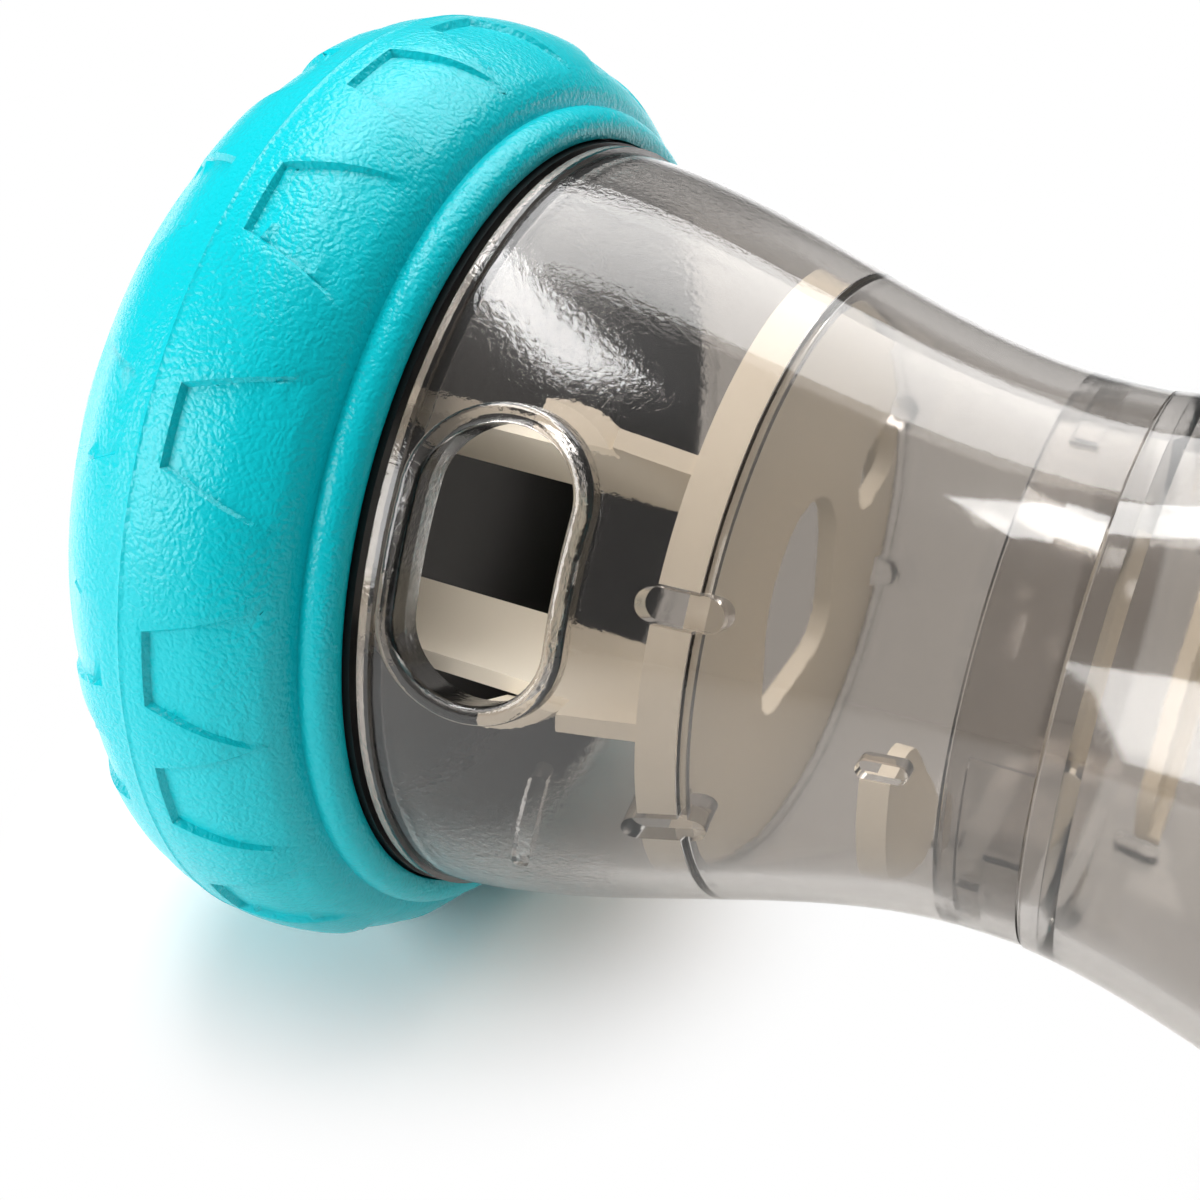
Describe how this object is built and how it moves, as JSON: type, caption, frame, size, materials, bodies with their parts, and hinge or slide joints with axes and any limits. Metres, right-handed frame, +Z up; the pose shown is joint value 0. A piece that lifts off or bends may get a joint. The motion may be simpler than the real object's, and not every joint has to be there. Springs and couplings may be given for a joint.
{
  "type": "treat dispenser dog toy",
  "caption": "Hourglass rolling treat dispenser for dogs, with smoke-tinted clear bells, rubber tyres on the ends, cream maze walls inside and oval outlets.",
  "frame": {"origin": "on the floor under the middle of the toy, with both tyres resting on it", "axes": "+X along the toy's long axis from the pictured end to the other, -Y towards the viewer, +Z up"},
  "size_m": [0.218, 0.11, 0.1099],
  "materials": {
    "turquoise_rubber": "satin rubber with a fine leathery grain",
    "dark_plastic": "gloss black moulded plastic",
    "screw_steel": "plain steel",
    "black_rubber": "matt black rubber",
    "smoke_clear": null,
    "cream_plastic": "smooth cream moulded plastic"
  },
  "bodies": {
    "left_half": {"left_rubber_tyre": "turquoise_rubber", "left_end_cap": "dark_plastic", "left_hub_cover": "dark_plastic", "left_hub_screws": "screw_steel", "left_cap_seal": "black_rubber", "left_clear_bell": "smoke_clear", "left_maze_bulkhead": "cream_plastic", "left_segment_baffle": "cream_plastic"},
    "right_half": {"right_rubber_tyre": "turquoise_rubber", "right_end_cap": "dark_plastic", "right_hub_cover": "dark_plastic", "right_hub_screws": "screw_steel", "right_cap_seal": "black_rubber", "right_clear_bell": "smoke_clear", "right_maze_bulkhead": "cream_plastic", "right_segment_baffle": "cream_plastic"}
  },
  "joints": [
    {"name": "waist_twist", "type": "hinge", "parent": "left_half", "child": "right_half", "pos_m": [0, 0, 0.05485], "axis": [-1, 0, 0], "range_deg": [0, 32]}
  ]
}
